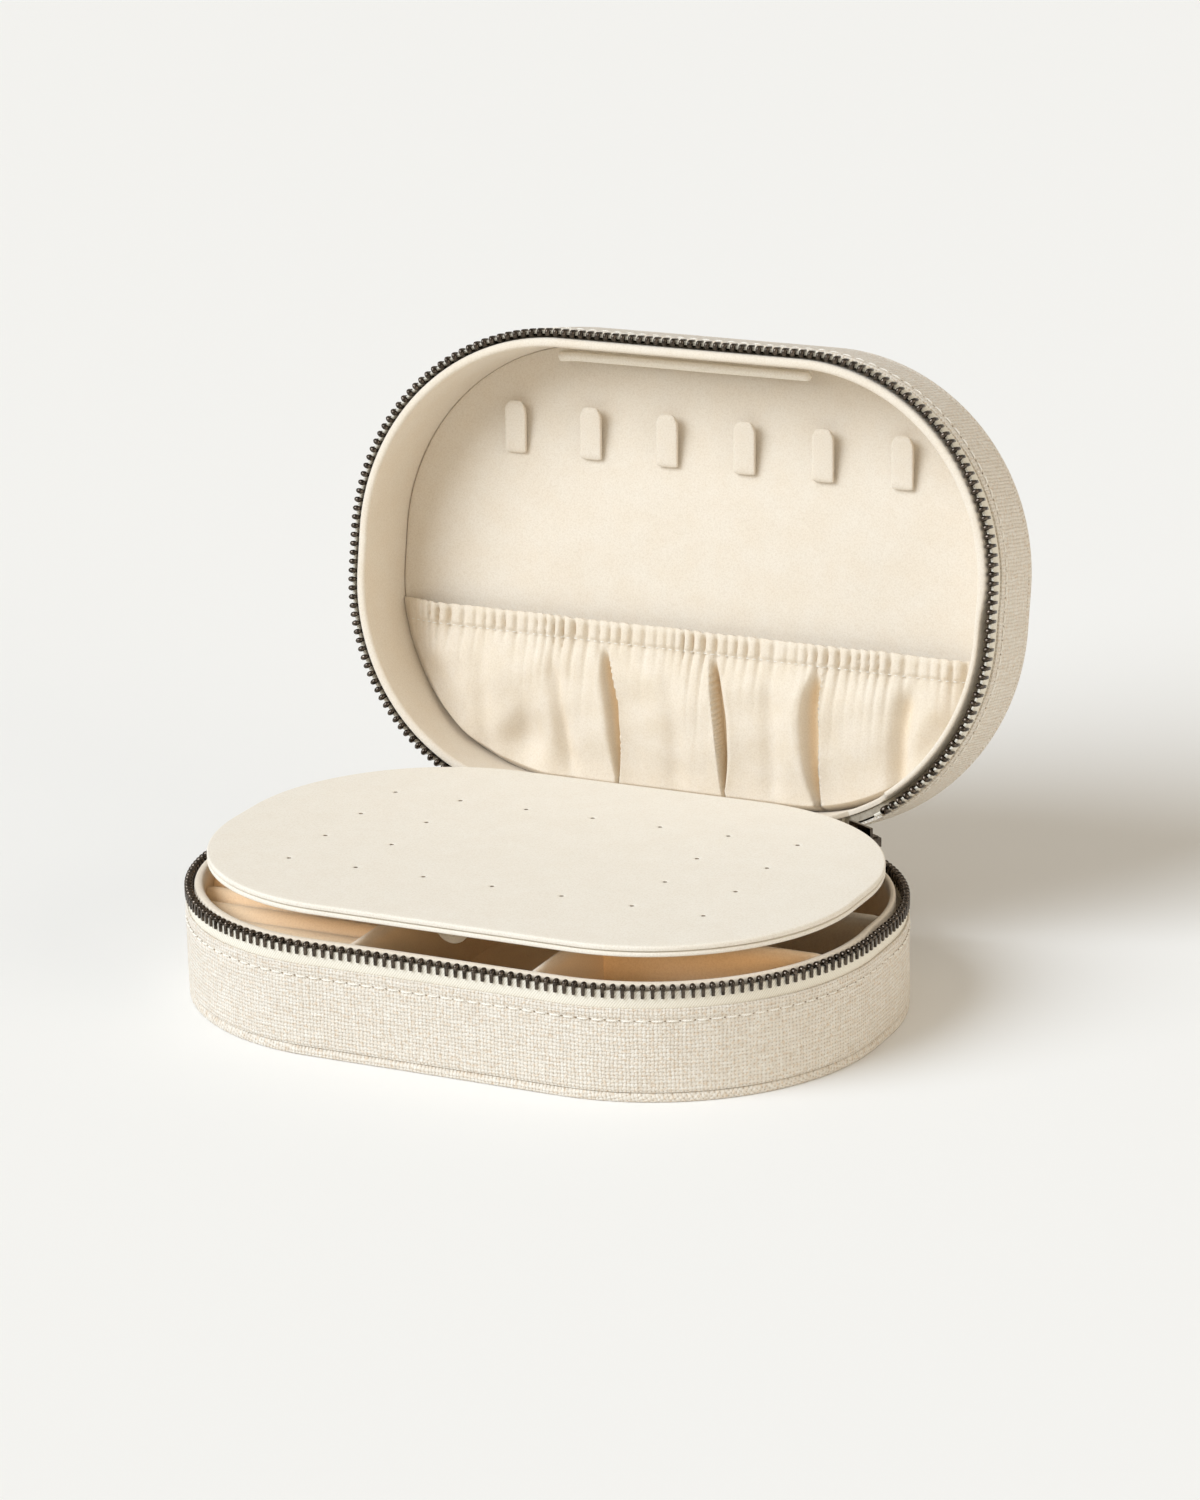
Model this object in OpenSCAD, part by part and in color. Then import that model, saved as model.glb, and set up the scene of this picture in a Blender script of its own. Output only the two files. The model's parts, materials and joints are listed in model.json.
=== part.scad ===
// Zip-around travel jewelry box with a padded lid, shown open.
// Millimetres. X runs along the length, -Y is the front, Z is up.
// The origin is the centre of the base's underside.
// The shells are drawn closed and upright. lid_frame() flips and swings its children
// onto the open lid, so the lid uses the same heights as the base.

/* [Box] */
// Outside length
box_length = 194; // [186:1:202]
// Outside width, front to rear
box_width = 133; // [128:1:138]
// Outside corner radius in plan
corner_radius = 61; // [58:0.5:62]
// Height of the base's rim
rim_height = 31; // [30:0.5:34]
// Depth of the lid, from its rim to its outer face
lid_depth = 29.1; // [28.6:0.1:30]
// How far the lid is swung open
open_angle = 101; // [92:1:101]

/* [Walls] */
// Thickness of the linen cloth
linen_t = 0.6; // [0.4:0.1:0.6]
// Thickness of the grey board in the walls
board_t = 2.1; // [1.8:0.1:2.1]
// Thickness of the padded lining
lining_t = 1.45; // [1.2:0.05:1.5]
// Thickness of the top and bottom panels
panel_t = 2.5; // [2:0.1:2.5]
// Depth of the band's edge below the rim
band_drop = 6; // [5.5:0.1:6.2]

/* [Zip] */
// Distance from one tooth to the next
tooth_pitch = 2.54; // [2.3:0.01:3]
// Length of a tooth along the tape
tooth_w = 1.3; // [1:0.1:1.5]
// Thickness of the tape
tape_t = 0.8; // [0.6:0.1:0.8]
// Length of the slider along the tape, in degrees of the corner
slider_arc = 8.6; // [8:0.1:9]
// Length of the puller from its pin
puller_len = 21; // [16:1:24]

/* [Inside] */
// Place of the divider beside the ring rolls
left_divider_x = -25.5; // [-28:0.5:-23]
// Place of the divider beside the small compartments
right_divider_x = 26.5; // [24:0.5:30]
// Distance from one ring roll to the next
roll_pitch = 10.5; // [10.3:0.1:10.6]
// Place of the front cross divider
front_cross_y = -21; // [-24:0.5:-18]
// Place of the rear cross divider
rear_cross_y = 11; // [8:0.5:14]
// Height of the ring rolls above the table
roll_top = 26.5; // [22:0.5:28]
// How far the earring plate is lifted off the dividers
plate_lift = 6.4; // [0:0.1:8]
// Distance from one earring hole to the next
hole_pitch = 20; // [16:1:20]

/* [Lid fittings] */
// Distance from one necklace hook to the next
hook_pitch = 23.5; // [18:0.5:24]
// How far a hook's tip stands off the lid
hook_rise = 4; // [3:0.1:4.5]
// How far the pocket stands off the lid
pocket_rise = 5.2; // [4.8:0.1:5.4]

/* [Hidden] */
$fn = 96;

linen = "#e4dccb";
twill = "#e9e2d2";
suede = "#e2cfae";
greyboard = "#b9a888";
gunmetal = "#5a5652";

// Plan outline: the four corner circles' centres lie at (+-core_x, +-core_y)
core_x = box_length / 2 - corner_radius;
core_y = box_width / 2 - corner_radius;
seam_gap = 1.3;             // the two rims' distance when the box is shut
hinge_z = rim_height + seam_gap / 2;
hinge_y = box_width / 2 - 3.54;
lid_outer_z = rim_height - lid_depth;
lid_rear_y = box_width / 2 - 3;   // the lid's fittings are placed from this line
hook_row = 93;                    // distance of the hooks' roots from it
hook_mid_x = 0.9;
pocket_depth = 49;                // distance of the pocket's mouth from it

// Layers of the wall, as insets from the outer face
play = 0.05;
tape_in = linen_t + play;
board_in = tape_in + tape_t;
lining_in = board_in + board_t + 0.15;
wall_in = lining_in + lining_t;
chain_in = tape_in + tape_t / 2;
chain_r = corner_radius - chain_in;

// Heights
band_top = rim_height - band_drop;
hinge_band_top = rim_height - 3.8;  // the rear edges butt here when the lid is open
hinge_band_x = 56.6;                // half length of the raised rear edges
floor_t = 1.8;
floor_top = panel_t + floor_t;
divider_top = rim_height - 1;
divider_t = 2.2;
lid_ceiling_z = lid_outer_z + panel_t + 2.25;

// Zip
tooth_out = 1.2;            // half thickness of a tooth
tooth_leg = 3.9;            // the legs' reach below the rim
tooth_head = 0.2;           // the head's rise above the rim
tape_top = 1.5;             // depth of the tape's edge below the rim
chain_start = 24.6;         // chain's end, in degrees round the rear corner from the rear
lid_chain_start = 37;       // the lid's right end, which leaves room for the slider
stop_w = 2;
slider_at = 28.75;          // middle of the parked slider, in the same degrees
slider_reach = 5.05;        // the slider's half height
slider_gap = tooth_out + 0.25;
slider_plate_t = 0.9;
pin_r = 0.7;
eye_r = 1.9;
pin_off = 4.65;             // distance of the pin outside the chain

// Earring plate
plate_half_l = box_length / 2 - 6.2;
plate_half_w = box_width / 2 - 6.4;
plate_corner = corner_radius - 6.3;
plate_z = divider_top + plate_lift;
plate_core_t = 1.4;
plate_skin_t = 0.8;

// ---- Outlines ----

// The box's outline, moved in by an inset
module plan(inset) {
    r = corner_radius - inset;
    outline(core_x + r, core_y + r, r);
}

module outline(half_l, half_w, r) {
    square([2 * (half_l - r), 2 * half_w], center = true);
    square([2 * half_l, 2 * (half_w - r)], center = true);
    for (sx = [-1, 1], sy = [-1, 1])
        translate([sx * (half_l - r), sy * (half_w - r)]) circle(r, $fn = 180);
}

module slab(inset, z0, z1) {
    translate([0, 0, z0]) linear_extrude(z1 - z0) plan(inset);
}

module wall(outer, inner, z0, z1) {
    translate([0, 0, z0]) linear_extrude(z1 - z0)
        difference() {
            plan(outer);
            plan(inner);
        }
}

// A block behind the X axis, from x0 to x1, to cut or keep the rear of a wall
module rear_block(x0, x1, z0, z1) {
    translate([x0, 0, z0]) cube([x1 - x0, box_width, z1 - z0]);
}

// ---- Places ----

// Puts a shell that is drawn upright onto the open lid
module lid_frame() {
    translate([0, hinge_y, hinge_z]) rotate([-open_angle, 0, 0])
        translate([0, -hinge_y, hinge_z]) mirror([0, 0, 1]) children();
}

// Point and outward direction on the chain's line, at distance u from the front's middle
function chain_point(u) = u < 0 ? mirrored(half_point(-u)) : half_point(u);
function mirrored(p) = [-p[0], p[1], 180 - p[2]];
function half_point(u) =
    let (quarter = chain_r * PI / 2, a = u - core_x, b = a - quarter, c = b - 2 * core_y)
    a < 0 ? [u, -core_y - chain_r, -90]
    : b < 0 ? corner_point(-core_y, a / chain_r * 180 / PI - 90)
    : c < 0 ? [core_x + chain_r, b - core_y, 0]
    : corner_point(core_y, c / chain_r * 180 / PI);
function corner_point(cy, deg) =
    [core_x + chain_r * cos(deg), cy + chain_r * sin(deg), deg];

// Distance along the chain to a place round the rear corner
function chain_end(from_rear) =
    core_x + chain_r * PI / 2 + 2 * core_y + chain_r * (90 - from_rear) * PI / 180;

module on_chain(u) {
    p = chain_point(u);
    translate([p[0], p[1], rim_height]) rotate([0, 0, p[2]]) children();
}

// Stands children on the rear right corner's circle, X outwards, at from_rear degrees
module on_corner(from_rear, radius) {
    translate([core_x, core_y, 0]) rotate([0, 0, 90 - from_rear])
        translate([radius, 0, 0]) children();
}

// ---- Shells ----

module panel(z0) {
    slab(0.3, z0, z0 + panel_t);
}

module wall_board(z0) {
    wall(board_in, board_in + board_t, z0, band_top - 0.2);
    intersection() {
        wall(board_in, board_in + board_t, band_top - 1, hinge_band_top - 0.2);
        rear_block(-hinge_band_x, hinge_band_x, 0, rim_height);
    }
}

module linen_band(z0) {
    wall(0, linen_t, z0, band_top);
    intersection() {
        wall(0, linen_t, band_top - 1, hinge_band_top);
        rear_block(-hinge_band_x, hinge_band_x, 0, rim_height);
    }
}

module lining_wall(z0) {
    wall(lining_in, wall_in, z0, rim_height);
}

// ---- Zip ----

module zip_tape(right_end) {
    difference() {
        wall(tape_in, tape_in + tape_t, band_top - 0.2 + play, rim_height - tape_top);
        rear_block(-core_x - chain_r * sin(chain_start - 5), right_end, 0, rim_height);
    }
}

// Clamps over the tape's edge: two legs and a head
module tooth(width) {
    slot = tape_t / 2 + play;
    rotate([90, 0, 0]) linear_extrude(width, center = true)
        polygon([
            [-tooth_out, -tooth_leg], [-slot, -tooth_leg], [-slot, play - tape_top],
            [slot, play - tape_top], [slot, -tooth_leg], [tooth_out, -tooth_leg],
            [tooth_out, -0.4], [0.6, tooth_head], [-0.6, tooth_head], [-tooth_out, -0.4]
        ]);
}

module chain(left_end, right_end, shift) {
    first = ceil(-left_end / tooth_pitch);
    last = floor(right_end / tooth_pitch) - (shift > 0 ? 1 : 0);
    for (i = [first:last])
        on_chain((i + shift) * tooth_pitch) tooth(tooth_w);
}

module zip_stops(left_end, right_end) {
    for (u = [-left_end - stop_w, right_end + stop_w])
        on_chain(u) tooth(stop_w);
}

// ---- Base ----

module base_bottom_panel() {
    color(linen) panel(0);
}

module base_wall_board() {
    color(greyboard) wall_board(panel_t);
}

module base_linen_band() {
    color(linen) linen_band(panel_t);
}

module base_zip_tape() {
    color(twill) zip_tape(core_x + chain_r * sin(chain_start - 5));
}

module base_zip_teeth() {
    color(gunmetal) chain(chain_end(chain_start), chain_end(chain_start), 0);
}

module base_zip_stops() {
    color(gunmetal) zip_stops(chain_end(chain_start), chain_end(chain_start) - stop_w / 2);
}

module base_lining_wall() {
    color(suede) lining_wall(panel_t);
}

module base_floor_pad() {
    color(suede) slab(wall_in + play, panel_t, floor_top);
}

// A padded partition between x0 and x1 and between y0 and y1
module partition(x0, x1, y0, y1, z1) {
    intersection() {
        translate([x0, y0, floor_top]) cube([x1 - x0, y1 - y0, z1 - floor_top]);
        slab(wall_in + play, floor_top, z1);
    }
}

module long_divider(x) {
    color(suede)
        partition(x - divider_t / 2, x + divider_t / 2, -box_width, box_width, divider_top);
}

module cross_divider(y) {
    color(suede)
        partition(right_divider_x + divider_t / 2, box_length,
                  y - divider_t / 2, y + divider_t / 2, divider_top);
}

// Rings are held between these round-topped rolls
module ring_roll(i) {
    y = (i - 5.5) * roll_pitch;
    r = roll_pitch / 2 - 0.4;
    x1 = left_divider_x - divider_t / 2 - 0.1;
    color(suede) intersection() {
        translate([-box_length / 2, y, 0]) {
            translate([0, -r, 0]) cube([box_length / 2 + x1, 2 * r, roll_top - r]);
            translate([0, 0, roll_top - r]) rotate([0, 90, 0])
                cylinder(r = r, h = box_length / 2 + x1);
        }
        slab(wall_in + 0.2, floor_top, roll_top + 1);
    }
}

// Cloth that carries the lid: one leg lies on the base's rear, one on the open lid
module hinge_cloth() {
    leg = 5.5;
    y0 = box_width / 2 + play;
    y1 = y0 + linen_t;
    z0 = hinge_band_top - leg;
    far = lid_point(box_width / 2, z0);
    under = [cos(open_angle), -sin(open_angle)];
    color(linen) rotate([90, 0, 90]) linear_extrude(2 * core_x, center = true)
        polygon([
            [y0, z0], [y1, z0], [y1, below_lid(y1, linen_t + play)],
            far + under * (linen_t + play), far + under * play, [y0, below_lid(y0, play)]
        ]);
}

// Height of the line that runs a gap below the open lid's rear face
function below_lid(y, gap) =
    let (edge = lid_point(box_width / 2, hinge_band_top))
    edge[1] - gap * sin(open_angle)
    + (y - edge[0] - gap * cos(open_angle)) * cos(open_angle) / sin(open_angle);

// Place in the (Y, Z) plane of a point of the upright lid, once it is open
function lid_point(y, z) =
    let (dy = y - hinge_y, dz = hinge_z - z)
    [hinge_y + dy * cos(open_angle) + dz * sin(open_angle),
     hinge_z - dy * sin(open_angle) + dz * cos(open_angle)];

// ---- Lid ----

module lid_top_panel() {
    color(linen) lid_frame() panel(lid_outer_z);
}

module lid_wall_board() {
    color(greyboard) lid_frame() wall_board(lid_outer_z + panel_t);
}

module lid_linen_band() {
    color(linen) lid_frame() linen_band(lid_outer_z + panel_t);
}

module lid_zip_tape() {
    color(twill) lid_frame() zip_tape(core_x + chain_r * sin(lid_chain_start - 2));
}

module lid_zip_teeth() {
    color(gunmetal) lid_frame()
        chain(chain_end(chain_start), chain_end(lid_chain_start), 0.5);
}

module lid_zip_stops() {
    color(gunmetal) lid_frame()
        zip_stops(chain_end(chain_start), chain_end(lid_chain_start) - stop_w / 2);
}

// The lining is cut back over the parked slider
module lid_lining_wall() {
    x0 = core_x + chain_r * sin(slider_at - slider_arc / 2 - 2);
    x1 = core_x + chain_r * sin(slider_at + slider_arc / 2 + 2);
    color(suede) lid_frame() difference() {
        lining_wall(lid_outer_z + panel_t);
        rear_block(x0, x1, rim_height - slider_reach - 0.7, rim_height + 1);
    }
}

module lid_ceiling_pad() {
    color(suede) lid_frame() slab(wall_in + play, lid_outer_z + panel_t, lid_ceiling_z);
}

// A tongue fixed at one end, with its free end held off the lid to take a chain
module necklace_hook(i) {
    root_y = lid_rear_y - hook_row;
    len = 15;
    root_len = 4.5;
    root_t = 1.2;
    tip_t = 1.7;
    hook_w = 6.5;
    color(suede) lid_frame()
        translate([hook_mid_x + (i - 3.5) * hook_pitch, root_y, lid_ceiling_z])
        rotate([90, 0, 90]) linear_extrude(hook_w, center = true)
            polygon([
                [0, 0], [0, root_t], [-len, hook_rise], [-len, hook_rise - tip_t],
                [-root_len, 0.4], [-root_len, 0]
            ]);
}

// A cloth front that stands off the lid and is open along its upper edge
pocket_mouth = lid_rear_y - pocket_depth;
pocket_sheet_t = 1;

module pocket_part(y0, y1, z0, z1) {
    color(suede) lid_frame() intersection() {
        slab(wall_in + 0.1, z0, z1);
        translate([-box_length, y0, z0 - 1]) cube([2 * box_length, y1 - y0, z1 - z0 + 2]);
    }
}

module pocket_panel() {
    z0 = lid_ceiling_z + pocket_rise;
    pocket_part(pocket_mouth, box_width, z0, z0 + pocket_sheet_t);
}

module pocket_elastic() {
    header = 6;
    z0 = lid_ceiling_z + pocket_rise + pocket_sheet_t;
    pocket_part(pocket_mouth, pocket_mouth + header, z0, z0 + 1.6);
}

// A long padded bar along the inside of the lid's front wall
module lid_front_strip() {
    half_l = 39;
    mid_x = -6;
    bar_t = 4.2;
    z0 = lid_ceiling_z + 4.4;
    z1 = z0 + 4;
    color(suede) lid_frame() intersection() {
        wall(wall_in + play, wall_in + play + bar_t, z0, z1);
        translate([mid_x, -box_width / 2, (z0 + z1) / 2])
            cube([2 * half_l, box_width / 2, 2 * (z1 - z0)], center = true);
    }
}

// ---- Earring plate ----

// Seven by four holes, with the middle of the two inner rows left blank
module earring_holes(z0, z1) {
    hole_r = 0.6;
    for (col = [-3:3], row = [-1.5, -0.5, 0.5, 1.5])
        if (abs(col) > 1 || abs(row) > 1)
            translate([col * hole_pitch, row * hole_pitch, z0 - 1])
                cylinder(r = hole_r, h = z1 - z0 + 2, $fn = 24);
}

module plate_layer(z0, thickness, inset) {
    difference() {
        translate([0, 0, z0]) linear_extrude(thickness)
            outline(plate_half_l - inset, plate_half_w - inset, plate_corner - inset);
        earring_holes(z0, z0 + thickness);
    }
}

module earring_plate_backing() {
    color(suede) plate_layer(plate_z, plate_skin_t, 0);
}

module earring_plate_board() {
    color(greyboard) plate_layer(plate_z + plate_skin_t, plate_core_t, 0.3);
}

module earring_plate_cover() {
    color(suede) plate_layer(plate_z + plate_skin_t + plate_core_t, plate_skin_t, 0);
}

// Half-round tongue under the plate's front edge
module pull_tab() {
    tab_r = 5;
    tab_t = 1;
    tab_back = 7.5;
    tab_y = tab_back - plate_half_w;
    color(suede) translate([0, tab_y + tab_t / 2, plate_z]) rotate([90, 0, 0])
        linear_extrude(tab_t) intersection() {
            circle(tab_r);
            translate([-tab_r, -tab_r]) square([2 * tab_r, tab_r]);
        }
}

// ---- Slider and puller ----

module slider_ring(r0, r1, z0, z1, arc) {
    translate([core_x, core_y, 0]) rotate([0, 0, 90 - slider_at - arc / 2])
        rotate_extrude(angle = arc, $fn = 180)
            translate([r0, z0]) square([r1 - r0, z1 - z0]);
}

module zip_slider() {
    post_t = 0.6;
    post_arc = 2.5;
    lug_in = 2.6;
    lug_t = 1;
    inner_r = chain_r - slider_gap;
    outer_r = chain_r + slider_gap;
    z0 = hinge_z - slider_reach;
    z1 = hinge_z + slider_reach;
    color(gunmetal) union() {
        slider_ring(inner_r - slider_plate_t, inner_r, z0, z1, slider_arc);
        slider_ring(outer_r, outer_r + slider_plate_t, z0, z1, slider_arc);
        slider_ring(inner_r - 0.2, outer_r + 0.2, hinge_z - post_t / 2,
                    hinge_z + post_t / 2, post_arc);
        for (side = [-1, 1])
            on_corner(slider_at, outer_r + 0.5)
                translate([0, side * (lug_in + lug_t / 2) - lug_t / 2, hinge_z - 1.3])
                    cube([pin_off - slider_gap + 0.8, lug_t, 2.6]);
        on_corner(slider_at, chain_r + pin_off) translate([0, 0, hinge_z])
            rotate([90, 0, 0])
                cylinder(r = pin_r, h = 2 * lug_in + lug_t, center = true);
    }
}

// A flat tab that hangs from the slider's pin
module zip_puller() {
    eye_w = 4.8;
    tab_w = 6;
    tab_t = 1.3;
    end_r = tab_w / 2;
    color(gunmetal) on_corner(slider_at, chain_r + pin_off) translate([0, 0, hinge_z])
        difference() {
            union() {
                rotate([90, 0, 0]) cylinder(r = eye_r, h = eye_w, center = true);
                rotate([0, -90, 0]) linear_extrude(tab_t, center = true) {
                    translate([end_r - puller_len, 0]) circle(end_r);
                    translate([end_r - puller_len, -tab_w / 2])
                        square([puller_len - end_r - eye_r - 2, tab_w]);
                    translate([-eye_r - 2.2, -eye_w / 2]) square([eye_r + 1.2, eye_w]);
                }
            }
            rotate([90, 0, 0]) cylinder(r = pin_r + 0.08, h = tab_w + 1, center = true);
            translate([0, 0, end_r - puller_len]) rotate([0, 90, 0])
                cylinder(r = 1.5, h = tab_t + 1, center = true);
        }
}

base_bottom_panel();
base_wall_board();
base_linen_band();
base_zip_tape();
base_zip_teeth();
base_zip_stops();
base_lining_wall();
base_floor_pad();
long_divider(left_divider_x);  // divider_left
long_divider(right_divider_x);  // divider_right
cross_divider(front_cross_y);  // cross_divider_front
cross_divider(rear_cross_y);  // cross_divider_rear
for (i = [1:10])
    ring_roll(i);
hinge_cloth();
lid_top_panel();
lid_wall_board();
lid_linen_band();
lid_zip_tape();
lid_zip_teeth();
lid_zip_stops();
lid_lining_wall();
lid_ceiling_pad();
for (i = [1:6])
    necklace_hook(i);
pocket_panel();
pocket_elastic();
lid_front_strip();
earring_plate_board();
earring_plate_cover();
earring_plate_backing();
pull_tab();
zip_slider();
zip_puller();
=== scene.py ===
"""Looks of the zip-around jewelry box: cloth, lining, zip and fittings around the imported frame.

Shells are drawn in millimetres, shut and upright, as the CAD draws them. A lid piece is then
flipped and swung onto the open lid by LID. Piece coordinates end up in metres, in the row frame.
"""
import json
import math

import bmesh
import bpy
import numpy as np
from mathutils import Matrix, Vector

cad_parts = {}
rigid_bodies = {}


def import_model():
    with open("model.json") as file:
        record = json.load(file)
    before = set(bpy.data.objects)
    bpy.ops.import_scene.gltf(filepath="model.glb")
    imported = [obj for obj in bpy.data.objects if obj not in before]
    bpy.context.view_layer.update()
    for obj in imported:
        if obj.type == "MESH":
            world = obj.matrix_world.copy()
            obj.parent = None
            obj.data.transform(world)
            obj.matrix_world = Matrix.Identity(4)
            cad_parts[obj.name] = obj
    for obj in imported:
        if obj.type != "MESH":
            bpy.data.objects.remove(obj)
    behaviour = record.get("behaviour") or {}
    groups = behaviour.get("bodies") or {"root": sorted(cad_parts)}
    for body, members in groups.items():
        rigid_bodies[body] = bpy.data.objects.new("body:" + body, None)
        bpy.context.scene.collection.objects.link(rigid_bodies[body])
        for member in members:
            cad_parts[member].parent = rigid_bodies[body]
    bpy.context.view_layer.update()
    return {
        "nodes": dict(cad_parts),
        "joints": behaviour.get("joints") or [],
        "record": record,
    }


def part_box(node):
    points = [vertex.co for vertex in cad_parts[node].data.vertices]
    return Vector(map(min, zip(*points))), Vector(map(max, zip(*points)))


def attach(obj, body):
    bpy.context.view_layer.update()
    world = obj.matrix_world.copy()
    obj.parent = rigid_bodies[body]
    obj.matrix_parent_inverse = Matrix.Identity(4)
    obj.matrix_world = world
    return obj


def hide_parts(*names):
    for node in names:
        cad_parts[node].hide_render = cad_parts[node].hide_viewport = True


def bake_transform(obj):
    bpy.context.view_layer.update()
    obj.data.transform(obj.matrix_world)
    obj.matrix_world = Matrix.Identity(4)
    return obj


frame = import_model()

MM = 0.001


def mm_box(node):
    """Lowest and highest corners of a CAD node in millimetres."""
    lo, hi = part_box(node)
    return lo / MM, hi / MM


# ---- Sizes, from the frame ----

CORNER_R = 61.0                                   # the plan's corner radius, as in the CAD
HALF_L, HALF_W = mm_box("base_linen_band")[1][:2]
CORE_X, CORE_Y = HALF_L - CORNER_R, HALF_W - CORNER_R
QUARTER = CORNER_R * math.pi / 2
HALF_LOOP = 2 * CORE_X + 2 * CORE_Y + 2 * QUARTER   # half the outline's length
RIM_Z = mm_box("base_lining_wall")[1].z
PANEL_T = mm_box("base_bottom_panel")[1].z
FLOOR_Z = mm_box("base_floor_pad")[1].z
BAND_TOP = RIM_Z - 6
BAND_RAISED = mm_box("base_linen_band")[1].z - BAND_TOP
LINING_IN = HALF_L - mm_box("base_floor_pad")[1].x   # inset of the lining's inner face
CHAIN_IN = 1.05                                   # inset of the zip's line
REAR_CORNER = CORE_X + QUARTER + 2 * CORE_Y       # outline distance at which a rear corner starts
CHAIN_END = REAR_CORNER + CORNER_R * math.radians(90 - 24.6)
LID_CHAIN_END = REAR_CORNER + CORNER_R * math.radians(90 - 35.6)   # room for the slider
TOOTH_PITCH = 2.54
TOOTH_WIDTH, STOP_WIDTH = 1.24, 2.0
STITCH_PITCH = 3.8
STITCH_DROP = 3.2                                 # depth of the stitch line below the band's edge
LID_DEPTH = 29.1
CEILING = 24.35                                   # depth of the lid's inside below its rim

HINGE = next(j for j in frame["joints"] if j["name"] == "lid_hinge")
PIVOT = Vector(HINGE["pos_m"])
OPEN = math.radians(HINGE["range_deg"][1])
FLIP = Matrix.Translation((0, 0, 2 * PIVOT.z)) @ Matrix.Diagonal((1, 1, -1, 1))
LID = (Matrix.Translation(PIVOT) @ Matrix.Rotation(-OPEN, 4, "X")
       @ Matrix.Translation(-PIVOT) @ FLIP)


# ---- Materials ----

class Shader:
    """A material with a Principled shader, and short ways to add nodes to it."""

    def __init__(self, name, color, roughness, **sockets):
        self.material = bpy.data.materials.new(name)
        self.material.use_nodes = True
        self.tree = self.material.node_tree
        self.bsdf = self.tree.nodes["Principled BSDF"]
        self.bsdf.inputs["Base Color"].default_value = (*color, 1)
        self.bsdf.inputs["Roughness"].default_value = roughness
        for key, value in sockets.items():
            self.bsdf.inputs[key.replace("_", " ")].default_value = value

    def add(self, kind, links=None, **props):
        node = self.tree.nodes.new("ShaderNode" + kind)
        for key, value in props.items():
            setattr(node, key, value)
        for key, value in (links or {}).items():
            socket = node.inputs[key]
            if isinstance(value, bpy.types.NodeSocket):
                self.tree.links.new(value, socket)
            else:
                socket.default_value = value
        return node

    def math(self, operation, a, b=0.0, c=0.0):
        return self.add("Math", {0: a, 1: b, 2: c}, operation=operation).outputs[0]

    def cloth_uv(self, scale=(1, 1, 1), turn=0.0):
        """Place on the cloth, in millimetres times scale."""
        uv = self.add("UVMap", uv_map="cloth").outputs["UV"]
        big = tuple(s / MM for s in scale)
        return self.add("Mapping", {"Vector": uv, "Scale": big, "Rotation": (0, 0, turn)}
                        ).outputs["Vector"]

    def place(self):
        """Place in the row frame, in millimetres."""
        co = self.add("TexCoord").outputs["Object"]
        return self.add("Mapping", {"Vector": co, "Scale": (1 / MM,) * 3}).outputs["Vector"]

    def noise(self, vector, scale, detail=3.0, rough=0.55):
        links = {"Vector": vector, "Scale": scale, "Detail": detail, "Roughness": rough}
        return self.add("TexNoise", links).outputs["Fac"]

    def ramp(self, fac, *stops):
        node = self.add("ValToRGB", {"Fac": fac})
        elements = node.color_ramp.elements
        while len(elements) < len(stops):
            elements.new(0.5)
        for element, (position, color) in zip(elements, stops):
            element.position = position
            element.color = (*color, 1)
        return node.outputs["Color"]

    def mix(self, fac, a, b, blend="MIX"):
        node = self.add("Mix", {"Factor": fac}, data_type="RGBA", blend_type=blend)
        for socket, value in ((node.inputs[6], a), (node.inputs[7], b)):
            if isinstance(value, bpy.types.NodeSocket):
                self.tree.links.new(value, socket)
            else:
                socket.default_value = (*value, 1)
        return node.outputs[2]

    def color(self, socket):
        self.tree.links.new(socket, self.bsdf.inputs["Base Color"])

    def bump(self, height, distance, strength=1.0, under=None):
        """Height from 0 to 1 over distance in millimetres."""
        links = {"Height": height, "Distance": distance * MM, "Strength": strength}
        if under is not None:
            links["Normal"] = under
        normal = self.add("Bump", links).outputs["Normal"]
        self.tree.links.new(normal, self.bsdf.inputs["Normal"])
        return normal


def weave(shader, pitch, wander):
    """Height of a plain weave: threads that pass over and under each other."""
    uv = shader.cloth_uv((1 / pitch, 1 / pitch, 1))
    drift = shader.add("TexNoise", {"Vector": uv, "Scale": 0.22, "Detail": 2.0}).outputs["Color"]
    shift = shader.add("VectorMath", {0: drift, 1: (0.5, 0.5, 0.5)}, operation="SUBTRACT")
    scaled = shader.add("VectorMath", {0: shift.outputs[0], "Scale": wander},
                        operation="SCALE")
    moved = shader.add("VectorMath", {0: uv, 1: scaled.outputs[0]}, operation="ADD")
    axes = shader.add("SeparateXYZ", {0: moved.outputs[0]})
    u, v = (shader.math("SINE", shader.math("MULTIPLY", axes.outputs[k], math.pi))
            for k in (0, 1))
    over = shader.math("MULTIPLY_ADD", shader.math("MULTIPLY", u, v), 0.5, 0.5)
    warp = shader.math("MULTIPLY", shader.math("ABSOLUTE", u), over)
    weft = shader.math("MULTIPLY", shader.math("ABSOLUTE", v),
                       shader.math("SUBTRACT", 1.0, over))
    return shader.math("ADD", warp, weft)


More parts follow.
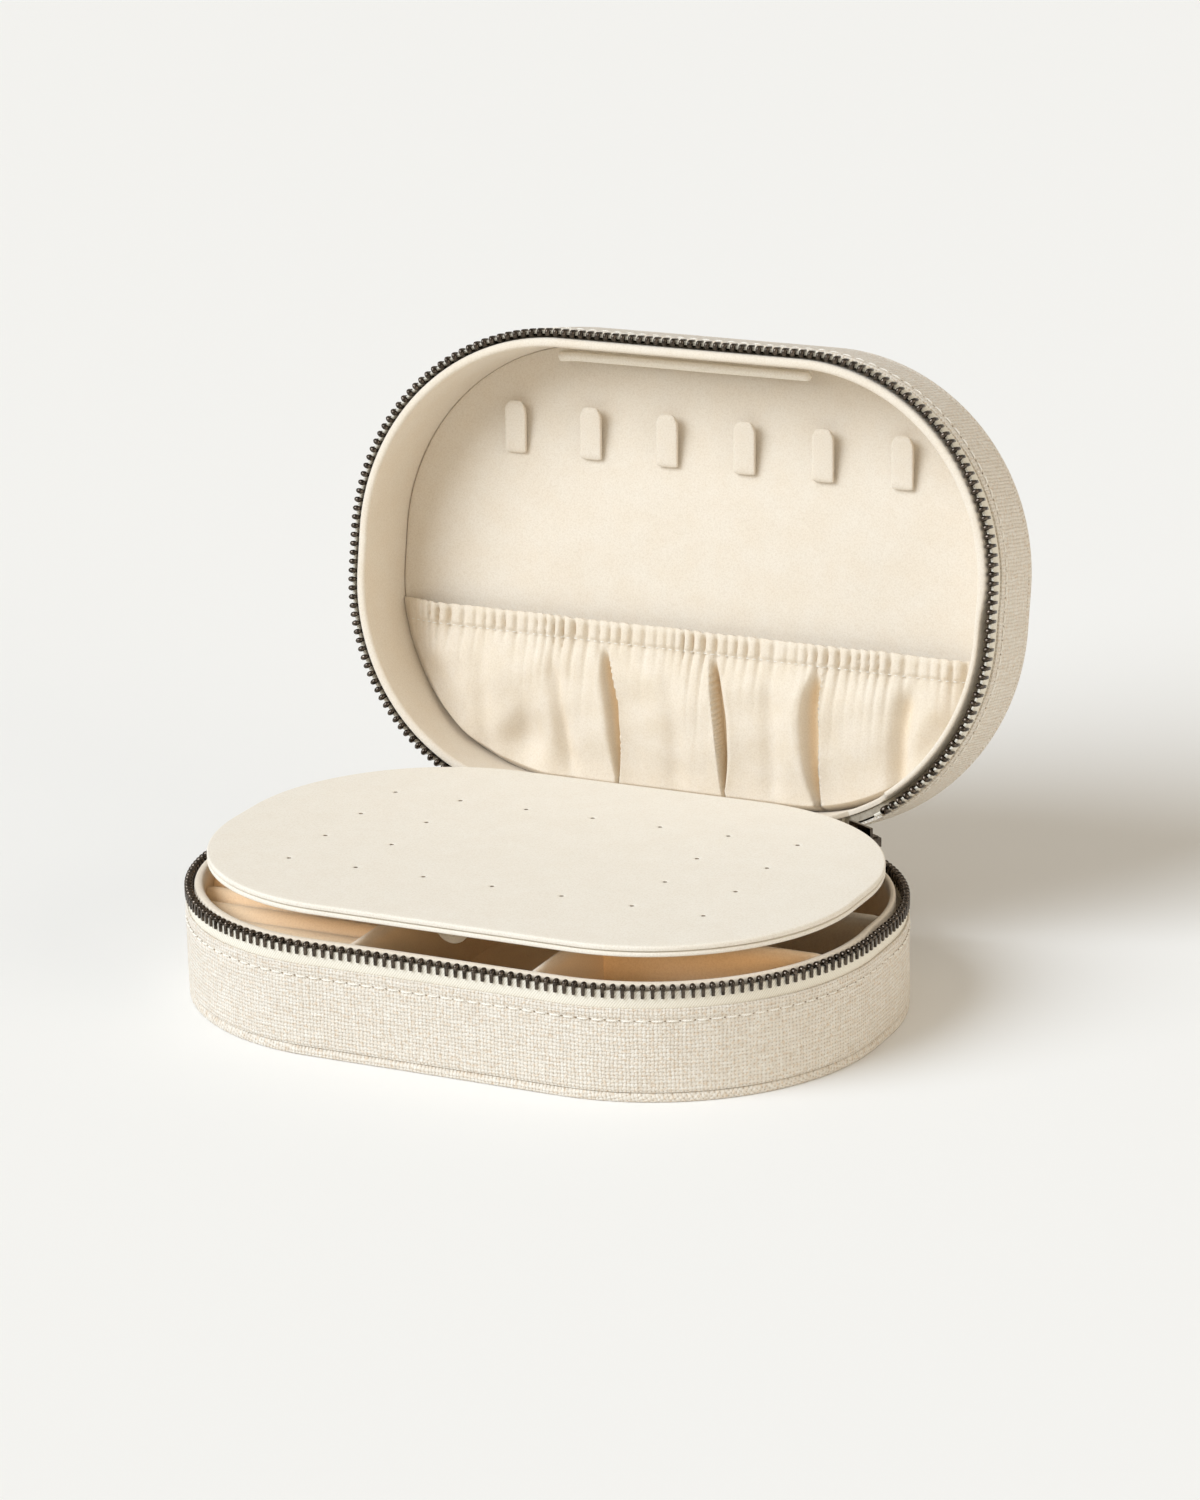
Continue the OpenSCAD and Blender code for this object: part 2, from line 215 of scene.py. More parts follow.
def linen_material():
    s = Shader("linen", (0.88, 0.83, 0.74), 0.95, Sheen_Weight=0.12, Sheen_Roughness=0.6)
    threads = weave(s, 1.02, 1.0)
    across = s.noise(s.cloth_uv((0.13, 0.85, 1)), 1.0, 2.0)
    along = s.noise(s.cloth_uv((0.85, 0.13, 1)), 1.0, 2.0)
    slub = s.math("MAXIMUM", across, along)
    tone = s.ramp(slub, (0.38, (0.71, 0.65, 0.565)), (0.54, (0.765, 0.715, 0.635)),
                  (0.72, (0.815, 0.78, 0.715)))
    fleck = s.noise(s.cloth_uv((0.9, 0.9, 1)), 1.0, 3.0, 0.7)
    warm = s.ramp(fleck, (0.34, (0.93, 0.83, 0.73)), (0.50, (1.0, 1.0, 1.0)))
    shade = s.ramp(threads, (0.10, (0.68, 0.615, 0.535)), (0.50, (1.0, 0.99, 0.975)))
    nub = s.noise(s.cloth_uv((0.95, 0.95, 1)), 1.0, 2.0, 0.5)
    lint = s.ramp(nub, (0.34, (0.955, 0.94, 0.92)), (0.60, (1.03, 1.03, 1.025)))
    cloth = s.mix(1.0, s.mix(1.0, tone, warm, "MULTIPLY"), shade, "MULTIPLY")
    s.color(s.mix(1.0, cloth, lint, "MULTIPLY"))
    fuzz = s.bump(s.noise(s.place(), 5.0, 2.0), 0.05)
    bulk = s.math("ADD", s.math("MULTIPLY", slub, 0.6), s.math("MULTIPLY", nub, 0.5))
    s.bump(s.math("ADD", bulk, threads), 0.30, 1.0, fuzz)
    return s.material


SHADE_TOP, SHADE_LOW = 29.8, 26.0                 # heights over which painted shade darkens the base's suede, in mm


def suede_material(name, color, deep, inside=None, fold=None):
    """Microsuede: a short dense nap, mottled where it lies in different directions.

    inside is painted shade: a darker, warmer colour that it takes from the upper height of that
    shade down to the lower one and below. The last colour is painted shade too, which it takes
    where the mesh's attribute for it is 1.
    """
    s = Shader(name, color, 0.92, Sheen_Weight=0.3, Sheen_Roughness=0.45)
    s.bsdf.inputs["Sheen Tint"].default_value = (1.0, 0.96, 0.90, 1)
    place = s.place()
    nap = s.noise(place, 0.12, 3.0)
    grain = s.noise(place, 2.1, 4.0, 0.8)
    soft = s.ramp(nap, (0.35, deep), (0.65, color))
    if inside:
        # Painted shade: low in the base, where the compartments lie in shade, the suede turns to
        # the inside colour.
        height = s.add("SeparateXYZ", {0: place}).outputs[2]
        span = {"Value": height, "From Min": SHADE_TOP, "From Max": SHADE_LOW}
        low = s.add("MapRange", span, interpolation_type="SMOOTHSTEP").outputs[0]
        soft = s.mix(low, soft, inside)
    if fold:
        # Painted shade in the creases, laid on by the mesh's attribute for it.
        inner = s.add("Attribute", attribute_name="fold").outputs["Fac"]
        soft = s.mix(inner, soft, fold)
    speck = s.ramp(grain, (0.36, (0.90, 0.875, 0.84)), (0.56, (1.0, 1.0, 1.0)))
    s.color(s.mix(1.0, soft, speck, "MULTIPLY"))
    coarse = s.bump(s.noise(place, 0.5, 2.0), 0.05, 0.5)
    s.bump(grain, 0.09, 0.9, coarse)
    return s.material


def ribs(shader, pitch, turn):
    """Height of slanted ribs, turned by this many degrees."""
    uv = shader.cloth_uv((1 / pitch, 1 / pitch, 1), math.radians(turn))
    across = shader.add("SeparateXYZ", {0: uv}).outputs[0]
    return shader.math("ABSOLUTE", shader.math("SINE", shader.math("MULTIPLY", across, math.pi)))


def twill_material():
    s = Shader("zip_tape", (0.78, 0.72, 0.60), 0.9, Sheen_Weight=0.1)
    wave = ribs(s, 0.6, 38)
    s.color(s.ramp(wave, (0.1, (0.66, 0.60, 0.48)), (0.7, (0.83, 0.78, 0.67))))
    s.bump(wave, 0.07, 0.7)
    return s.material


def metal_material():
    s = Shader("zip_metal", (0.07, 0.06, 0.05), 0.2, Metallic=1.0)
    place = s.place()
    mottle = s.noise(place, 0.8, 4.0)
    s.color(s.ramp(mottle, (0.35, (0.042, 0.034, 0.027)), (0.7, (0.15, 0.120, 0.095))))
    rough = s.add("MapRange", {"Value": mottle, "To Min": 0.12, "To Max": 0.24})
    s.tree.links.new(rough.outputs[0], s.bsdf.inputs["Roughness"])
    s.bump(s.noise(place, 3.0, 2.0), 0.015, 0.5)
    return s.material


def thread_material():
    s = Shader("thread", (0.90, 0.86, 0.78), 0.7, Sheen_Weight=0.2)
    wave = ribs(s, 0.35, 50)
    s.color(s.ramp(wave, (0.1, (0.68, 0.62, 0.52)), (0.6, (0.90, 0.86, 0.78))))
    s.bump(wave, 0.05, 0.6)
    return s.material


def board_material():
    s = Shader("grey_board", (0.40, 0.35, 0.27), 0.95)
    fibre = s.noise(s.place(), 0.9, 5.0, 0.7)
    s.color(s.ramp(fibre, (0.35, (0.33, 0.28, 0.21)), (0.7, (0.47, 0.42, 0.33))))
    s.bump(fibre, 0.06, 0.5)
    return s.material


# Dark colour for the inside of needle holes and of the plate's holes: painted shade.
def hole_shade_material():
    s = Shader("needle_hole", (0.26, 0.20, 0.14), 0.95)
    mottle = s.noise(s.place(), 2.0)
    s.color(s.ramp(mottle, (0.4, (0.20, 0.15, 0.10)), (0.6, (0.34, 0.27, 0.19))))
    return s.material


LINEN = linen_material()
SUEDE = suede_material("lining", (0.792, 0.715, 0.603), (0.780, 0.692, 0.570))
# The base's suede, with painted shade low in its compartments.
SHADED_INNER_SUEDE = suede_material("inner_suede", (0.84, 0.75, 0.62), (0.81, 0.71, 0.58),
                             (0.95, 0.76, 0.53))
PLATE_SUEDE = suede_material("plate_suede", (0.852, 0.798, 0.70), (0.838, 0.778, 0.675))
# The pocket's suede, with painted shade in the hollows of its folds.
POCKET_SUEDE = suede_material("pocket_suede", (0.80, 0.715, 0.595), (0.77, 0.675, 0.54),
                              fold=(0.84, 0.67, 0.46))
# A lighter suede for the padded bar: painted light, as if it caught the light near the rim.
LIT_BAR_SUEDE = suede_material("bar_suede", (0.93, 0.875, 0.775), (0.91, 0.85, 0.74))
TAB_SUEDE = suede_material("tab_suede", (0.77, 0.64, 0.46), (0.73, 0.59, 0.41))
HOLE_SHADE = hole_shade_material()
TWILL = twill_material()
METAL = metal_material()
THREAD = thread_material()
BOARD = board_material()
NODE_MATERIAL = {"linen": LINEN, "lining": SUEDE, "zip_tape": TWILL, "zip_metal": METAL,
                 "grey_board": BOARD}


# ---- Meshes ----

def make(name, verts, faces, uvs, material, body, replaces=(), sharp=40):
    """One piece from millimetre points. Lid pieces are given upright."""
    mesh = bpy.data.meshes.new(name)
    points = np.asarray(verts, float) * MM
    if body == "lid":
        turn = np.array(LID)
        points = points @ turn[:3, :3].T + turn[:3, 3]
        faces = [face[::-1] for face in faces]
        uvs = [corners[::-1] for corners in uvs]
    mesh.from_pydata(points.tolist(), [], faces)
    layer = mesh.uv_layers.new(name="cloth")
    flat = np.array([c for corners in uvs for c in corners], float) * MM
    layer.data.foreach_set("uv", flat.ravel())
    mesh.materials.append(material)
    mesh.shade_smooth()
    mesh.set_sharp_from_angle(angle=math.radians(sharp))
    mesh.validate()
    piece = bpy.data.objects.new(name, mesh)
    bpy.context.scene.collection.objects.link(piece)
    if body:
        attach(piece, body)
    if replaces:
        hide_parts(*replaces)
    return piece


def grid_faces(rows, cols, wrap_rows=False, wrap_cols=False, start=0):
    """Quads over a grid of rows by cols points, stored row by row."""
    faces = []
    for i in range(rows if wrap_rows else rows - 1):
        for j in range(cols if wrap_cols else cols - 1):
            a, b = i % rows, (i + 1) % rows
            c, d = j % cols, (j + 1) % cols
            faces.append([start + a * cols + c, start + b * cols + c,
                          start + b * cols + d, start + a * cols + d])
    return faces


def tube_faces(rows, cols, start=0):
    """Faces of a tube of rows rings with cols points each, closed at both ends."""
    last = start + (rows - 1) * cols
    ends = [list(range(start, start + cols)), list(range(last, last + cols))[::-1]]
    return grid_faces(rows, cols, False, True, start) + ends


def no_uvs(faces):
    """Cloth places for a piece whose material doesn't use them."""
    return [[(0, 0)] * len(face) for face in faces]


def mend(piece, step=None):
    """Runs a step on the piece's mesh, and turns its faces outward."""
    bm = bmesh.new()
    bm.from_mesh(piece.data)
    if step:
        step(bm)
    bmesh.ops.recalc_face_normals(bm, faces=bm.faces)
    bm.to_mesh(piece.data)
    bm.free()


def station(u):
    """Point and outward direction on the outline, at distance u from the front's middle."""
    side = -1 if u < 0 else 1
    rest = abs(u)
    if rest < CORE_X:
        x, y, nx, ny = rest, -HALF_W, 0.0, -1.0
    elif rest < CORE_X + QUARTER:
        a = (rest - CORE_X) / CORNER_R
        nx, ny = math.sin(a), -math.cos(a)
        x, y = CORE_X + CORNER_R * nx, -CORE_Y + CORNER_R * ny
    elif rest < REAR_CORNER:
        x, y, nx, ny = HALF_L, rest - CORE_X - QUARTER - CORE_Y, 1.0, 0.0
    elif rest < REAR_CORNER + QUARTER:
        a = (rest - REAR_CORNER) / CORNER_R
        nx, ny = math.cos(a), math.sin(a)
        x, y = CORE_X + CORNER_R * nx, CORE_Y + CORNER_R * ny
    else:
        x, y, nx, ny = HALF_LOOP - rest, HALF_W, 0.0, 1.0
    return side * x, y, side * nx, ny


def stations(u0, u1, step):
    count = max(2, int(round((u1 - u0) / step)))
    return np.linspace(u0, u1, count + 1)


def smooth(x, low, high):
    """0 below low, 1 above high, and a soft step between."""
    t = min(1.0, max(0.0, (x - low) / (high - low)))
    return t * t * (3 - 2 * t)


def wobble(a, b, size=1.0, seed=0.0):
    """A slow, repeatable unevenness between about -1 and 1."""
    a, b = a / size, b / size
    return (math.sin(0.61 * a + 1.3 * seed) + math.sin(0.37 * a - 0.83 * b + 2.1 * seed)
            + math.sin(0.23 * a + 0.71 * b + 4.7 * seed)) / 3


def rounded(corners, segments=4):
    """Points of an outline of (a, b, radius) corners, each corner turned into an arc."""
    points = []
    for i, (a, b, radius) in enumerate(corners):
        here = np.array((a, b), float)
        if radius <= 0:
            points.append(here)
            continue
        before = np.array(corners[i - 1][:2], float) - here
        after = np.array(corners[(i + 1) % len(corners)][:2], float) - here
        d0, d1 = before / np.linalg.norm(before), after / np.linalg.norm(after)
        half = math.acos(max(-1, min(1, float(d0 @ d1)))) / 2
        reach = min(radius / math.tan(half), np.linalg.norm(before) / 2,
                    np.linalg.norm(after) / 2)
        p0, p1 = here + d0 * reach, here + d1 * reach
        for k in range(segments + 1):
            t = k / segments
            points.append((1 - t) ** 2 * p0 + 2 * t * (1 - t) * here + t * t * p1)
    return np.array(points)


def sweep(profile, us, loop=True, closed=True, caps=()):
    """Carries a profile round the outline.

    profile(u) gives (inset, z) points that run up the outside. loop joins the ends of us.
    closed joins the profile's ends. caps lists the profile points whose rings are filled,
    0 for the first and -1 for the last.
    """
    if loop:
        us = us[:-1]
    rows, verts, lengths = len(us), [], []
    for u in us:
        points = profile(u)
        x, y, nx, ny = station(u)
        for inset, z in points:
            verts.append((x - nx * inset, y - ny * inset, z))
        gaps = np.linalg.norm(np.diff(points, axis=0), axis=1)
        lengths.append(np.concatenate([[0], np.cumsum(gaps)]))
    cols = len(lengths[0])
    faces = grid_faces(rows, cols, loop, closed)
    step = us[1] - us[0]
    uvs = []
    for face in faces:
        i, j = divmod(face[0], cols)
        j1 = face[3] % cols
        v0 = lengths[i][j]
        v1 = lengths[i][j1] if j1 > j else v0 + 1
        uvs.append([(us[i], v0), (us[i] + step, v0), (us[i] + step, v1), (us[i], v1)])
    for cap in caps:
        j = cap % cols
        ring = [i * cols + j for i in range(rows)]
        if cap == 0:
            ring = ring[::-1]
        faces.append(ring)
        uvs.append([verts[k][:2] for k in ring])
    if not loop:
        ends = tube_faces(rows, cols)[-2:]
        faces += ends
        uvs += no_uvs(ends)
    return verts, faces, uvs


FULL = stations(-HALF_LOOP, HALF_LOOP, 2.6)       # all round the outline


def near_rear(u, from_end, fade=6):
    """1 behind the zip's ends, 0 along the zip."""
    return smooth(abs(u), CHAIN_END + from_end - fade / 2, CHAIN_END + from_end + fade / 2)


# ---- Shells, shared by base and lid ----

def panel_piece(name, body, depth, crown, replaces):
    """The linen-wrapped end panel. It is drawn with its outer face down, at this depth."""
    z0 = RIM_Z - depth

    def profile(u):
        low = [(inset, z0 - crown * math.sin(min(1, (inset - 1.5) / 45) * math.pi / 2), 0)
               for inset in (56, 48, 38, 28, 18, 10, 5)]
        edge = rounded([(2.5, z0, 0), (0.12, z0, 1.1), (0.05, z0 + 1.2, 0.4),
                        (0.3, z0 + PANEL_T, 0.7), (3.0, z0 + PANEL_T, 0)], 3)
        uneven = 0.06 * wobble(u, 0, 6, depth)
        edge[:, 0] += uneven
        return np.vstack([np.array(low)[:, :2], edge])

    verts, faces, _ = sweep(profile, FULL, True, False, caps=(0, -1))
    uvs = [[flat_place(verts[k], z0) for k in face] for face in faces]
    return make(name, verts, faces, uvs, LINEN, body, replaces)


def flat_place(point, z0):
    """Place on a panel's cloth, which lies flat and then turns up round the edge."""
    x, y, z = point
    ox = x - max(-CORE_X, min(CORE_X, x))
    oy = y - max(-CORE_Y, min(CORE_Y, y))
    stretch = 1 + max(0.0, z - z0) / max(1.0, math.hypot(ox, oy))
    return x + ox * (stretch - 1), y + oy * (stretch - 1)


def band_piece(name, body, depth, replaces):
    """The linen round the wall, folded over at its edge."""
    z0 = RIM_Z - depth + PANEL_T
    dent_z = BAND_TOP - STITCH_DROP

    def profile(u):
        lift = BAND_RAISED * near_rear(u, 3.5, 5)
        corners = [(0.85, z0 + 0.1, 0), (0.22, z0 + 0.15, 0.3), (0.0, z0 + 1.2, 0.6),
                   (0.0, z0 + 6, 0), (0.02, z0 + 12, 0), (0.0, dent_z - 1.4, 0.5),
                   (0.26, dent_z, 0.5), (-0.05, dent_z + 1.3, 0.5),
                   (0.0, BAND_TOP, 0.55), (0.95, BAND_TOP - 0.05, 0.4),
                   (0.95, dent_z, 0), (0.95, z0 + 1, 0)]
        points = rounded(corners, 3)
        for p in points:
            if p[0] < 0.8:
                p[0] += 0.10 * wobble(u, p[1], 4, depth) * smooth(p[1], z0, z0 + 3)
            if p[1] > dent_z:
                edge = smooth(p[1], dent_z, BAND_TOP)
                p[1] += lift * smooth(p[1], dent_z + 0.5, BAND_TOP - 0.3)
                p[1] += 0.10 * wobble(u, 0, 5, 3 + depth) * edge
        return points

    verts, faces, uvs = sweep(profile, FULL)
    return make(name, verts, faces, uvs, LINEN, body, replaces)


def stitch_row(name, body, places, radius, material):
    """Short thread stitches. places lists (middle, along, out, length) in millimetres."""
    verts, faces, uvs = [], [], []
    rings, sides = 7, 6
    for middle, along, out, length in places:
        start = len(verts)
        middle, along, out = (np.array(k, float) for k in (middle, along, out))
        across = np.cross(along, out)
        for i in range(rings):
            t = i / (rings - 1) * 2 - 1
            swell = radius * math.sqrt(max(0.04, 1 - t ** 4))
            centre = middle + along * t * length / 2 - out * 0.28 * t * t
            for k in range(sides):
                a = 2 * math.pi * k / sides
                verts.append(centre + (across * math.cos(a) + out * math.sin(a)) * swell)
        made = tube_faces(rings, sides, start)
        faces += made
        for face in made:
            uvs.append([((i - start) // sides * length / rings, (i - start) % sides * 0.2)
                        for i in face])
    return make(name, verts, faces, uvs, material, body)


def band_stitches(name, body):
    """Stitches along the band's edge, with a needle hole between each two: a short dark tube,
    painted shade.
    """
    z = BAND_TOP - STITCH_DROP
    threads, hole_shades = [], []
    count = int(HALF_LOOP * 2 / STITCH_PITCH)
    for i in range(2 * count):
        u = -HALF_LOOP + (i + 0.5) * HALF_LOOP / count
        x, y, nx, ny = station(u)
        if i % 2:
            # Painted shade: a short dark tube sunk into the band stands for a needle hole.
            sunk = 0.27 + 0.07 * wobble(u, 0, 2, 8)
            spot = (x - nx * sunk, y - ny * sunk, z)
            hole_shades.append((spot, (-ny, nx, 0), (nx, ny, 0), 0.8))
        else:
            spot = (x + nx * 0.02, y + ny * 0.02, z)
            threads.append((spot, (-ny, nx, 0), (nx, ny, 0), 2.9))
    stitch_row(name + "_holes", body, hole_shades, 0.22, HOLE_SHADE)
    return stitch_row(name, body, threads, 0.25, THREAD)


def tape_piece(name, body, right_end, replaces):
    """The zip's tape, which runs a little past both ends of its teeth."""
    def profile(u):
        dip = 0.08 * wobble(u, 0, 3, 7)
        return rounded([(0.72 + dip, BAND_TOP - 1.2, 0), (0.66 + dip, BAND_TOP + 1.5, 0),
                        (0.62, RIM_Z - 1.55, 0.3), (1.48, RIM_Z - 1.55, 0.3),
                        (1.44 + dip, BAND_TOP + 1.5, 0), (1.42 + dip, BAND_TOP - 1.2, 0)], 3)

    us = stations(-CHAIN_END - 5, right_end + 5, 2.0)
    verts, faces, uvs = sweep(profile, us, loop=False)
    return make(name, verts, faces, uvs, TWILL, body, replaces)


def tooth_mesh(width):
    """One zip tooth: a round head over two flat legs that clamp the tape."""
    bm = bmesh.new()
    head = bmesh.ops.create_uvsphere(bm, u_segments=10, v_segments=7, radius=1)["verts"]
    bmesh.ops.scale(bm, vec=(1.18, 0.66 * width, 0.86), verts=head)
    bmesh.ops.translate(bm, vec=(0, 0, -0.66), verts=head)
    for side in (-1, 1):
        leg = bmesh.ops.create_cube(bm, size=1)["verts"]
        bmesh.ops.scale(bm, vec=(0.62, 0.8 * width, 2.5), verts=leg)
        bmesh.ops.translate(bm, vec=(side * 0.80, 0, -2.05), verts=leg)
        for v in leg:
            if v.co.z < -3:
                v.co.y *= 0.86
        edges = list({e for v in leg for e in v.link_edges})
        bmesh.ops.bevel(bm, geom=edges, offset=0.16, segments=2, affect="EDGES", profile=0.5)
    verts = np.array([v.co for v in bm.verts])
    faces = [[v.index for v in f.verts] for f in bm.faces]
    bm.free()
    return verts, faces


def teeth_piece(name, body, left_end, right_end, shift, replaces):
    """A row of teeth, moved by shift pitches, with a wider stop at each end."""
    template, template_faces = tooth_mesh(TOOTH_WIDTH)
    stop, stop_faces = tooth_mesh(STOP_WIDTH)
    first = math.ceil(-left_end / TOOTH_PITCH)
    last = math.floor(right_end / TOOTH_PITCH)
    places = [((i + shift) * TOOTH_PITCH, template, template_faces)
              for i in range(first, last)]
    places += [(-left_end - 2.0, stop, stop_faces), (right_end + 1.2, stop, stop_faces)]
    verts, faces = [], []
    for u, shape, shape_faces in places:
        x, y, nx, ny = station(u)
        start = len(verts)
        for a, b, c in shape:
            out = a - CHAIN_IN
            verts.append((x + nx * out - ny * b, y + ny * out + nx * b, RIM_Z + c))
        faces += [[start + k for k in face] for face in shape_faces]
    return make(name, verts, faces, no_uvs(faces), METAL, body, replaces, sharp=60)


def lining_piece(name, body, depth, replaces):
    """The padded wall lining with its rounded rim. It is narrower where the slider runs."""
    z0 = RIM_Z - depth

    def profile(u):
        slim = smooth(u, REAR_CORNER - 14, REAR_CORNER - 2)
        outer = 2.55 + 1.1 * slim
        if body == "lid":
            parked = smooth(u, LID_CHAIN_END - 1, LID_CHAIN_END + 2)
            parked *= 1 - smooth(u, CHAIN_END + 3, CHAIN_END + 6)
        else:
            parked = 0
        top = RIM_Z - 0.15 - 5.6 * parked + 0.06 * wobble(u, 0, 5, depth)
        inner = LINING_IN - 0.02 + 0.08 * wobble(u, 1, 9, depth)
        return rounded([(3.72, z0 + 1, 0), (3.72, BAND_TOP - 2, 0), (outer, BAND_TOP, 0.8),
                        (outer, top, 1.25), (inner, top, 1.25), (inner, top - 6, 0),
                        (inner, z0 + 8, 0), (inner - 0.02, z0 + 1, 0)], 5)

    verts, faces, uvs = sweep(profile, FULL)
    material = SHADED_INNER_SUEDE if body == "base" else SUEDE
    piece = make(name, verts, faces, uvs, material, body, replaces)
    return piece


def pad_piece(name, body, depth, thickness, replaces):
    """A thin padded panel that lies inside the lining, drawn with its show side up."""
    z1 = RIM_Z - depth

    def profile(u):
        round_by = 0.35 + 0.6 * smooth(-u, CORE_X + 20, CORE_X + 80)
        edge = rounded([(LINING_IN + 2, z1 - thickness, 0), (LINING_IN + 0.05, z1 - thickness, 0.2),
                        (LINING_IN + 0.05, z1, round_by), (LINING_IN + 3, z1, 0)], 5)
        rest = [(inset, z1 + 0.12 * wobble(u, inset, 8, depth)) for inset in (14, 24, 36, 46, 54)]
        return np.vstack([edge, rest])

    verts, faces, uvs = sweep(profile, FULL, True, False, caps=(0, -1))
    material = SHADED_INNER_SUEDE if body == "base" else SUEDE
    piece = make(name, verts, faces, uvs, material, body, replaces)
    return piece


# ---- Base fittings ----

def plan_half(core, over, inset):
    """Half the outline along one axis, moved in by inset, over past the other axis's core."""
    r = CORNER_R - inset
    if over <= 0:
        return core + r
    return core + math.sqrt(max(0.0, r * r - over * over))


def plan_half_x(y, inset):
    return plan_half(CORE_X, abs(y) - CORE_Y, inset)


def plan_half_y(x, inset):
    return plan_half(CORE_Y, abs(x) - CORE_X, inset)


def bar_piece(name, start, end, section, node, swell=0.0, ends=0.8, left_end=None):
    """A padded bar from start to end, both (x, y), with a section of (across, z) points.

    left_end(y), where given, is the x that a bar along X starts from at each y.
    """
    start, end = np.array(start, float), np.array(end, float)
    along = end - start
    length = np.linalg.norm(along)
    along /= length
    side = np.array((-along[1], along[0]))
    count = max(8, int(length / 2.2))
    centre_z = section[:, 1].mean()
    verts = []
    for i in range(count + 1):
        t = i / count
        d = t * length
        taper = 1 - 0.16 * (1 - smooth(d, 0, ends)) - 0.16 * smooth(d, length - ends, length)
        for a, z in section:
            puff = 1 + swell * wobble(d, z, 7, start[1])
            p = start + along * d + side * a * puff * taper
            if left_end:
                p[0] = end[0] * t + left_end(p[1]) * (1 - t)
            verts.append((p[0], p[1], centre_z + (z - centre_z) * (1 + (taper - 1) * 0.2)))
    faces = tube_faces(count + 1, len(section))
    piece = make(name, verts, faces, no_uvs(faces), SHADED_INNER_SUEDE, "base", (node,),
                 sharp=50)
    mend(piece)
    return piece


SEAT_GAP = 0.06                                   # between a divider and the seated plate


def divider_section(half, z0, z1):
    """A divider's section: nearly upright sides under a round top."""
    side = [(half * (1 + 0.05 * math.sin(t * math.pi)), z0 + (z1 - z0 - half) * t)
            for t in np.linspace(0, 1, 6)]
    top = [(half * math.cos(a), z1 - half + half * math.sin(a))
           for a in np.linspace(0.25, math.pi - 0.25, 9)]
    return np.array(side + top + [(-a, z) for a, z in side[::-1]])


def base_fittings():
    for node in ("divider_left", "divider_right"):
        lo, hi = mm_box(node)
        x, half = (lo.x + hi.x) / 2, (hi.x - lo.x) / 2
        reach = plan_half_y(x, LINING_IN) - 0.05
        section = divider_section(half, FLOOR_Z, hi.z - SEAT_GAP)
        bar_piece("lined_" + node, (x, -reach), (x, reach), section, node)
    for node in ("cross_divider_front", "cross_divider_rear"):
        lo, hi = mm_box(node)
        y, half = (lo.y + hi.y) / 2, (hi.y - lo.y) / 2
        section = divider_section(half, FLOOR_Z, hi.z - SEAT_GAP)
        right = plan_half_x(y, LINING_IN) - 0.05
        bar_piece("lined_" + node, (lo.x, y), (right, y), section, node)
    for i in range(1, 11):
        node = "ring_roll_%d" % i
        lo, hi = mm_box(node)
        y, half = (lo.y + hi.y) / 2, (hi.y - lo.y) / 2
        section = roll_section(half, FLOOR_Z, hi.z)
        bar_piece("soft_" + node, (roll_left(y), y), (hi.x, y), section, node, 0.015, 1.6,
                  roll_left)


def roll_left(y):
    """Where a roll meets the curved lining at the left."""
    return 0.1 - plan_half_x(y, LINING_IN)


def roll_section(half, z0, z1):
    """A folded roll: sides that lean together, under a full round top."""
    side = [(half * (0.80 + 0.16 * t), z0 + (z1 - z0 - half) * t) for t in np.linspace(0, 1, 5)]
    top = [(half * 0.97 * math.cos(a), z1 - half + half * math.sin(a))
           for a in np.linspace(0.15, math.pi - 0.15, 13)]
    return np.array(side + top + [(-a, z) for a, z in side[::-1]])


# ---- Lid fittings ----

LID_FLOOR = RIM_Z - CEILING      # the lid's inside face, upright
LID_REAR = HALF_W - 3.0          # where distances from the lid's rear are counted from


def hook_piece(i):
    """A stiffened suede tongue, square at its stitched root and blunt at its free tip."""
    node = "necklace_hook_%d" % i
    lo, hi = mm_box(node)
    x0 = (lo.x + hi.x) / 2
    half = (hi.x - lo.x) / 2
    root, length, rise = LID_REAR - 93, 15.0, 4.0
    rows = 14
    verts = []
    sides = [(-1, 1), (-0.86, 1.12), (0.86, 1.12), (1, 1),
             (1, 0.15), (0.86, 0), (-0.86, 0), (-1, 0.15)]
    for k in range(rows + 1):
        t = k / rows
        narrow = 1 - 0.42 * smooth(t, 0.80, 1.0) ** 1.6
        lift = 0.35 + (rise - 1.75) * t ** 1.15
        thick = 1.15 + 0.35 * t
        edge = 1 - 0.75 * smooth(t, 0.97, 1.0) - 0.45 * (1 - smooth(t, 0, 0.05))
        for a, b in sides:
            z = LID_FLOOR + lift * (1 if t > 0 else 0.6) + thick * (0.5 + (b - 0.5) * edge)
            verts.append((x0 + half * a * narrow, root - length * t, z))
    faces = tube_faces(rows + 1, len(sides))
    piece = make("suede_" + node, verts, faces, no_uvs(faces), SUEDE, "lid", (node,),
                 sharp=55)
    mend(piece)
    rounding = piece.modifiers.new("round", "SUBSURF")
    rounding.levels = rounding.render_levels = 2
    return piece


# Folds of the pocket: x at the elastic, half way and at the foot, depth and width.
# Side 1 has its crisp edge on the left, -1 on the right, and 0 has none.
FOLDS = [(-24.5, -17.8, -16.6, 5.2, 3.6, -1), (7.5, 11.0, 15.2, 5.2, 3.2, 1),
         (41.6, 42.8, 45.0, 5.0, 4.8, -1), (68.5, 66.6, 68.5, 3.0, 4.6, 0),
         (-41.5, -36.5, -31.0, 2.0, 4.0, 0), (-63.0, -61.0, -58.0, 1.2, 5.0, 0),
         (25.0, 28.0, 30.0, 1.3, 4.6, 0), (-6.0, -1.5, 1.0, 1.2, 5.0, 0)]
POCKET_TOP, POCKET_SEAM, POCKET_FOOT = 49.0, 43.0, 2.6
HOLLOW_X, HOLLOW_T = -47.5, 13.0  # a dent in the pocket's left part
